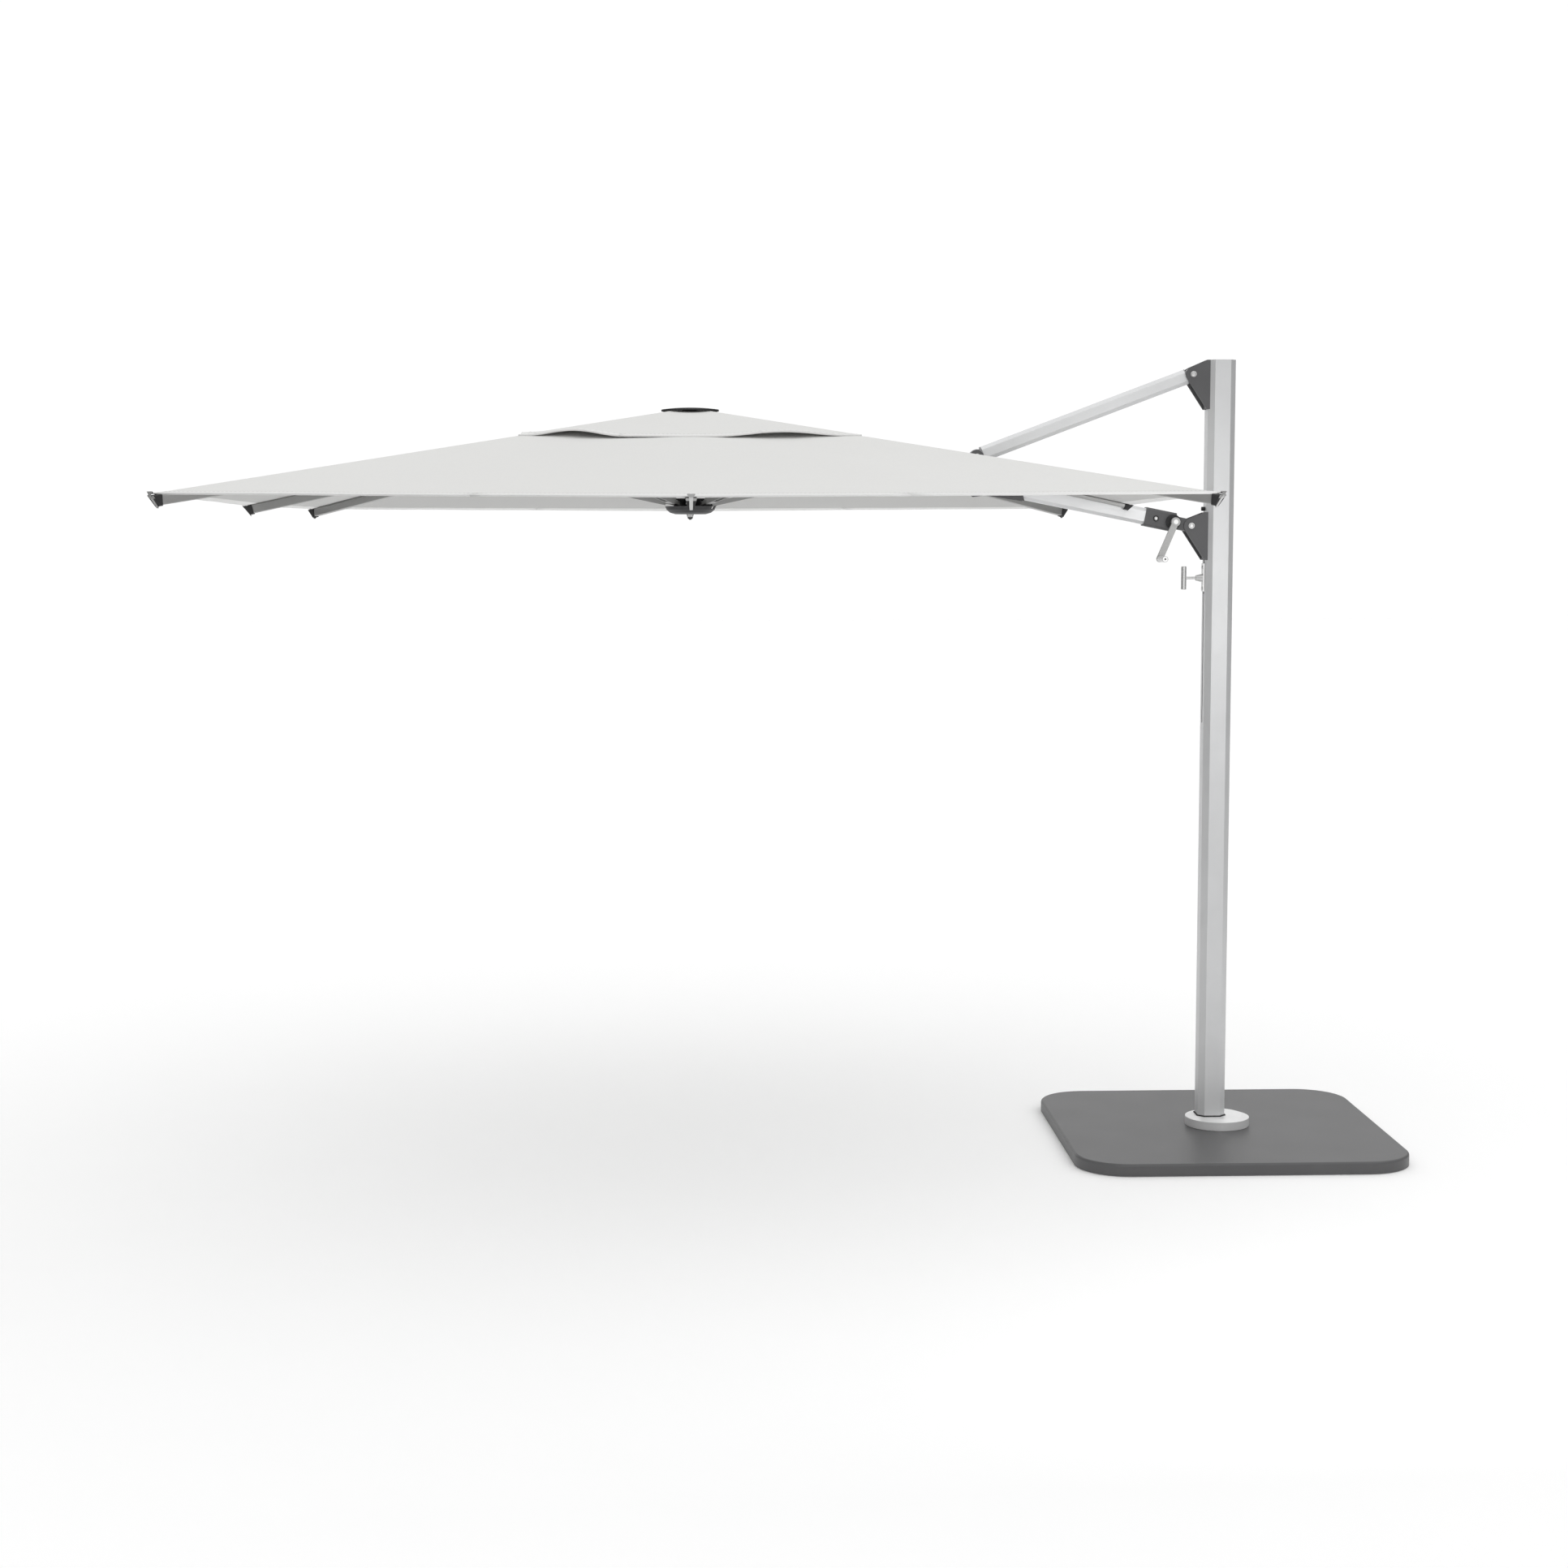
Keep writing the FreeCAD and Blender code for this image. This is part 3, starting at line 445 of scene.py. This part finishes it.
def hem_band(name, edge, inside):
    """A folded hem: a doubled band on both faces, with a rolled bead at the very edge."""
    rings = []
    half, ease = CLOTH / 2 + HEM_RISE, HEM_WIDTH - 0.002
    for outer, inner in zip(edge, inside):
        back = (inner - outer).normalized()
        middle = outer - UP * CLOTH / 2
        outline = ((HEM_WIDTH, half - 0.0004), (ease, half), (0.004, half), (0, HEM_BEAD),
                   (-0.002, HEM_BEAD * 0.5), (-0.002, -HEM_BEAD * 0.8), (0, -HEM_BEAD * 1.3),
                   (0.004, -half), (ease, -half), (HEM_WIDTH, -half + 0.0004))
        rings.append([middle + back * u + UP * v for u, v in outline])
    return mesh_object(name, *loft(rings), fabric_edge)


def stitches(name, edge, inside):
    """A row of raised stitches along a hem's inner edge."""
    line = []
    for outer, inner in zip(edge, inside):
        back = (inner - outer).normalized()
        line.append(outer + back * SEAM_OFFSET + UP * 0.0010)
    crest = UP * 0.0006
    verts, faces = [], []
    for start, end in zip(line, line[1:]):
        run = end - start
        count = max(1, int(run.length / STITCH_PITCH))
        along = run.normalized()
        across = along.cross(UP).normalized() * 0.0006
        for k in range(count):
            a = start + run * ((k + 0.5) / count) - along * STITCH_LENGTH / 2
            b = a + along * STITCH_LENGTH
            base = len(verts)
            verts += [a - across, a + across, b + across, b - across,
                      (a * 3 + b) / 4 + crest, (a + b * 3) / 4 + crest]
            faces += [(base, base + 1, base + 4), (base + 1, base + 2, base + 5, base + 4),
                      (base + 2, base + 3, base + 5), (base + 3, base, base + 4, base + 5),
                      (base, base + 3, base + 2, base + 1)]
    return mesh_object(name, verts, faces, thread, False)


def canopy():
    """Main cloth and vent cloth, one piece of each on every rib, drawn in by that rib's fold."""
    for rib, joint in ribs.items():
        layers = (("canopy", "canopy_cover", OPENING, HALF, sagging_height, 30, 24, SLIT),
                  ("vent", "vent_cover", VENT_INNER, VENT_HALF, vent_height, 16, 32, VENT_SLIT))
        for label, node, inner, outer, height, rows, steps, slit in layers:
            cloth, edge, inside = cloth_piece(f"{label}_{rib}", rib, inner, outer, height, rows,
                                              steps, slit)
            band = hem_band(f"{label}_hem_{rib}", edge, inside)
            seam = stitches(f"{label}_stitching_{rib}", edge, inside)
            for piece in (cloth, band, seam):
                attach(piece, f"rib_{rib}")
                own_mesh(piece)
            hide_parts(node)


def slit_strips():
    """The fixed cloth over the arm, cut round the saddle."""
    lo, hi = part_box("slit_cover")
    pin_lo, pin_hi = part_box("strut_pin")
    pin_x = (pin_lo.x + pin_hi.x) / 2
    slope = (APEX + MID_DROP) / HALF
    rows, cols, crown = 24, 6, 0.0008
    spans = ((lo.x, pin_x - 0.06, SLIT - 0.0075), (pin_x + 0.19, hi.x, SLIT - 0.0015))
    for index, (x0, x1, half) in enumerate(spans):
        grid = []
        for i in range(rows + 1):
            x = x0 + (x1 - x0) * i / rows
            z = CENTRE.z + APEX - (x - CENTRE.x) * slope
            shares = [j / cols * 2 - 1 for j in range(cols + 1)]
            swell = crown * math.sin(math.pi * i / rows)
            grid.append([Vector((x, share * half, z + swell * (1 - share * share)))
                         for share in shares])
        strip = double_skin(f"slit_strip_{index + 1}", grid, fabric)
        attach(strip, "boom")
        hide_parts("slit_cover")


# ---- rib ends ----
def rounded_ring(x, top, low, half_top, half_low, radius=0.003, steps=3):
    """A trapezoid with rounded corners, across the rib at x."""
    corners = [((half_top - radius, top - radius), 0), ((-half_top + radius, top - radius), 90),
               ((-half_low + radius, low + radius), 180), ((half_low - radius, low + radius), 270)]
    ring = []
    for (y, z), start in corners:
        for k in range(steps + 1):
            a = math.radians(start + 90 * k / steps)
            ring.append(Vector((x, y + radius * math.cos(a), z + radius * math.sin(a))))
    return ring


def rib_ends():
    """A black shoe on each rib's tip, and the bright hook that holds the hem's corner to it."""
    for rib, joint in ribs.items():
        hinge, out = rib_frame(rib)
        slim = rib.startswith("mast_")
        reach, corner = hem_reach(out)
        slope = math.atan2(APEX, reach) if corner else math.atan2(APEX + MID_DROP, reach)
        radius = (hinge - CENTRE).dot(out)
        length = (reach - radius) / math.cos(slope)
        turn = Matrix.Rotation(math.atan2(out.y, out.x), 4, "Z") @ Matrix.Rotation(slope, 4, "Y")
        matrix = Matrix.Translation(hinge) @ turn
        high, tall, wide = (SLIM_HIGH, 0.020, 0.016) if slim else (RIB_HIGH, 0.032, 0.032)
        top, grow = high / 2 + 0.0006, 0.0008
        half, narrow = wide / 2 + grow, wide / 3.4 + grow
        floor = high / 2 - tall - grow
        rings = []
        for share, lean, squeeze in ((-0.03, 0.0015, 0.90), (0.0, 0.0, 0.96), (0.5, 0.0, 0.98),
                                     (0.96, 0.0, 1.0), (1.0, -0.0012, 0.94)):
            ring = []
            for point in rounded_ring(0, top, floor, half * squeeze, narrow * squeeze):
                fall = (top - point.z) / (top - floor)
                back, front = -0.0165 - 0.0020 * fall, 0.0125 - 0.0175 * fall
                x = length + back + (front - back) * share
                ring.append(matrix @ Vector((x, point.y, point.z - lean * (1 - 2 * fall))))
            rings.append(ring)
        shoe = crisp(mesh_object(f"tip_shoe_{rib}", *loft(rings), black), 40)
        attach(shoe, f"rib_{rib}")
        hook = hem_clip(f"hem_clip_{rib}", matrix, length, top, tall, 0.5 if slim else 1.0)
        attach(hook, f"rib_{rib}")


def hem_clip(name, matrix, length, top, tall, size):
    """A pressed strap down the shoe's nose, flared above to a claw that grips the hem."""
    lean = 0.0175 / tall
    path = [(-0.0060, 0.0030, 0.0050), (0.0040, 0.0042, 0.0080), (0.0120, 0.0110, 0.0120),
            (0.0132, 0.0116, 0.0118), (0.0134, 0.0050, 0.0075), (0.0138, 0.0, 0.0055),
            (0.0132 - lean * 0.012, -0.0120, 0.0052), (0.0135 - lean * 0.028, -0.0280, 0.0050),
            (0.0125 - lean * 0.034, -0.0380, 0.0042)]
    rings = []
    for index, (x, z, half) in enumerate(path):
        before, after = path[max(index - 1, 0)], path[min(index + 1, len(path) - 1)]
        run = Vector((after[0] - before[0], 0, after[1] - before[1])).normalized()
        out = Vector((-run.z, 0, run.x)) * 0.0009
        middle = Vector((length + x * size, 0, top + z * size))
        wide = half * size
        rings.append([matrix @ (middle + out * sign + Vector((0, y, 0)))
                      for sign, y in ((1, -wide), (1, wide), (-1, wide), (-1, -wide))])
    return crisp(mesh_object(name, *loft(rings), stainless), 40)


# ---- cord below the crown ----
def drop_line():
    """Three twisted strands from the crown's eye to the runner's ferrule."""
    lo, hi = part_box("drop_line")
    lay, strand_radius, turns, steps = 0.00105, 0.0009, 10.5, 160
    strands = []
    for strand in range(3):
        rings = []
        for i in range(steps + 1):
            z = lo.z + (hi.z - lo.z) * i / steps
            phase = 2 * math.pi * (turns * i / steps + strand / 3)
            middle = Vector((CENTRE.x + lay * math.cos(phase), lay * math.sin(phase), z))
            rings.append([middle + Vector((math.cos(k * math.pi / 4), math.sin(k * math.pi / 4),
                                           0)) * strand_radius for k in range(8)])
        strands.append(mesh_object(f"strand_{strand}", *loft(rings), braid))
    line = joined("drop_rope", strands)
    for face in line.data.polygons:
        face.use_smooth = True
    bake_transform(line)
    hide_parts("drop_line")


# ---- small fittings ----
def lock_coil():
    """A helical spring in the lock's mouth, pressed as the pin is pulled."""
    lo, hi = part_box("lock_spring")
    wire, turns, steps = 0.0007, 7, 168
    radius = (hi.y - lo.y) / 2 - wire
    height = (lo.z + hi.z) / 2
    rings = []
    for i in range(steps + 1):
        angle = turns * 2 * math.pi * i / steps
        x = lo.x + wire + (hi.x - lo.x - 2 * wire) * i / steps
        out = Vector((0, math.cos(angle), math.sin(angle)))
        middle = Vector((x, 0, height)) + out * radius
        rings.append([middle + (out * math.cos(k * math.pi / 4)
                                + Vector((math.sin(k * math.pi / 4), 0, 0))) * wire
                      for k in range(8)])
    coil = mesh_object("lock_coil", *loft(rings), stainless)
    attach(coil, "carriage")
    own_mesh(coil)
    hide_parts("lock_spring")


def button_heads():
    """Domed heads with a hexagon socket on both ends of each cross pin, the socket a flat black hexagon of painted
    shade standing for its recess, and the knuckle's washers.
    """
    pins = (("top_pivot_pin", "mast", 0.0085), ("lower_pivot_pin", "carriage", 0.0085),
            ("strut_pin", "boom", 0.0085), ("crown_pin", "crown", 0.0095),
            ("knuckle_bolt", "boom", 0.0058))
    washer_sunk = 0.0038
    for node, body, radius in pins:
        lo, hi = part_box(node)
        for end, side, face in (("near", -1, lo.y), ("far", 1, hi.y)):
            centre = Vector(((lo.x + hi.x) / 2, face, (lo.z + hi.z) / 2))
            seat = pointing(centre, (0, side, 0))
            profile = [(0.0002, radius * 0.99), (0.0009, radius * 0.93), (0.0015, radius * 0.78),
                       (0.0018, radius * 0.60), (0.0018, radius * 0.46)]
            dome = lathe("dome", stainless, profile, seat, 40)
            # the socket is a flat black hexagon: painted shade in place of a recess
            socket = lathe("socket", black, [(0.0004, radius * 0.45), (0.0006, radius * 0.44)],
                           seat, 6, False)
            head = joined(f"{node}_head_{end}", [dome, socket])
            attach(head, body)
            if node == "knuckle_bolt":
                foot = centre - Vector((0, side * washer_sunk, 0))
                washer = lathe(f"knuckle_washer_{end}", black,
                               [(0, 0.0062), (0, 0.0100), (0.0012, 0.0100), (0.0018, 0.0092),
                                (0.0018, 0.0062)], pointing(foot, (0, side, 0)), 40)
                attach(washer, body)


def foot_seal():
    """A dark rubber seal between the upright's foot and the collar."""
    lo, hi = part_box("mast_tube")
    _, collar_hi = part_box("mast_collar")
    x, half, chamfer, slant = (lo.x + hi.x) / 2, (hi.x - lo.x) / 2, 0.020, 0.41
    rings = []
    for grow, z in ((0.0005, 0.0), (0.0042, 0.0), (0.0042, 0.0022), (0.0030, 0.0034),
                    (0.0005, 0.0036)):
        a, b = half + grow, half - chamfer + grow * slant
        outline = [(a, -b), (a, b), (b, a), (-b, a), (-a, b), (-a, -b), (-b, -a), (b, -a)]
        rings.append([Vector((x + u, v, collar_hi.z + z)) for u, v in outline])
    seal = crisp(mesh_object("foot_seal", *loft(rings, False), rubber), 40)
    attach(seal, "mast")


# ---- camera, light and floor ----
CAMERA_PLACE, LENS, SENSOR = (-1.852, -8.648, 2.0804), 57.7826, 36
CAMERA_YAW, CAMERA_PITCH, CAMERA_ROLL = 0.0379, 0.0953, -0.0013
BACK_LIGHT, FRONT_LIGHT, SIDE_LIGHT, TOP_LIGHT = 1.02, 0.40, 0.22, 1.14
FLOOR_GLOW, KEY_POWER = 0.10, 18
FLOOR_CORNERS = [(-4.6, -4.3, -0.0005), (2.6, -4.3, -0.0005), (27, 60, -0.0005), (-24, 60, -0.0005)]


def camera():
    """Straight before the canopy's middle, turned a little toward the mast and down."""
    forward = Vector((math.sin(CAMERA_YAW) * math.cos(CAMERA_PITCH),
                      math.cos(CAMERA_YAW) * math.cos(CAMERA_PITCH), -math.sin(CAMERA_PITCH)))
    right = Vector((math.cos(CAMERA_YAW), -math.sin(CAMERA_YAW), 0))
    up = right.cross(forward)
    side = right * math.cos(CAMERA_ROLL) + up * math.sin(CAMERA_ROLL)
    top = up * math.cos(CAMERA_ROLL) - right * math.sin(CAMERA_ROLL)
    data = bpy.data.cameras.new("camera")
    data.sensor_width = SENSOR
    data.lens = LENS
    data.clip_end = 200
    obj = placed("camera", data)
    rows = [(side[k], top[k], -forward[k], CAMERA_PLACE[k]) for k in range(3)]
    obj.matrix_world = Matrix((*rows, (0, 0, 0, 1)))
    bpy.context.scene.camera = obj


def area_light(name, location, target, size, power):
    data = bpy.data.lights.new(name, "AREA")
    data.shape = "RECTANGLE"
    data.size, data.size_y = size
    data.energy = power
    direction = Vector(target) - Vector(location)
    turn = direction.to_track_quat("-Z", "Y").to_matrix().to_4x4()
    placed(name, data).matrix_world = Matrix.Translation(location) @ turn


def studio():
    """A white surround, brightest behind and above, so the upright's flanks read darker."""
    world = bpy.data.worlds.new("world")
    world.use_nodes = True
    tree = world.node_tree
    background = tree.nodes["Background"]
    background.inputs["Color"].default_value = (1, 1, 1, 1)
    coords = tree.nodes.new("ShaderNodeTexCoord")
    split = tree.nodes.new("ShaderNodeSeparateXYZ")
    tree.links.new(coords.outputs["Generated"], split.inputs["Vector"])

    def curve(source, stops):
        ramp = tree.nodes.new("ShaderNodeMapRange")
        ramp.interpolation_type = "SMOOTHSTEP"
        for key, value in zip(("From Min", "From Max", "To Min", "To Max"), stops):
            ramp.inputs[key].default_value = value
        tree.links.new(source, ramp.inputs["Value"])
        return ramp.outputs["Result"]

    def brightest(first, second):
        node = tree.nodes.new("ShaderNodeMath")
        node.operation = "MAXIMUM"
        tree.links.new(first, node.inputs[0])
        tree.links.new(second, node.inputs[1])
        return node.outputs[0]

    behind = curve(split.outputs["Y"], (0.80, 0.92, SIDE_LIGHT, BACK_LIGHT))
    front = curve(split.outputs["Y"], (-0.55, -0.92, SIDE_LIGHT, FRONT_LIGHT))
    above = curve(split.outputs["Z"], (0.22, 0.62, 0.0, TOP_LIGHT))
    light = brightest(brightest(behind, front), above)
    tree.links.new(light, background.inputs["Strength"])
    bpy.context.scene.world = world
    floor = Nodes("floor_white", (0.95, 0.95, 0.95), 0.9)
    floor.tint(floor.ramp(floor.noise(3, 2), 0, 1), 0.995, 1.0)
    floor.shader.inputs["Emission Color"].default_value = (1, 1, 1, 1)
    floor.shader.inputs["Emission Strength"].default_value = FLOOR_GLOW
    plane = mesh_object("floor", FLOOR_CORNERS, [(0, 1, 2, 3)], floor.material, False)
    area_light("key", (0.2, -3.4, 1.9), (0, 0, 2.2), (1.4, 0.8), KEY_POWER)
    bpy.context.scene.view_settings.view_transform = "Standard"


camera()
dress_nodes()
canopy()
slit_strips()
rib_ends()
drop_line()
lock_coil()
button_heads()
foot_seal()
studio()
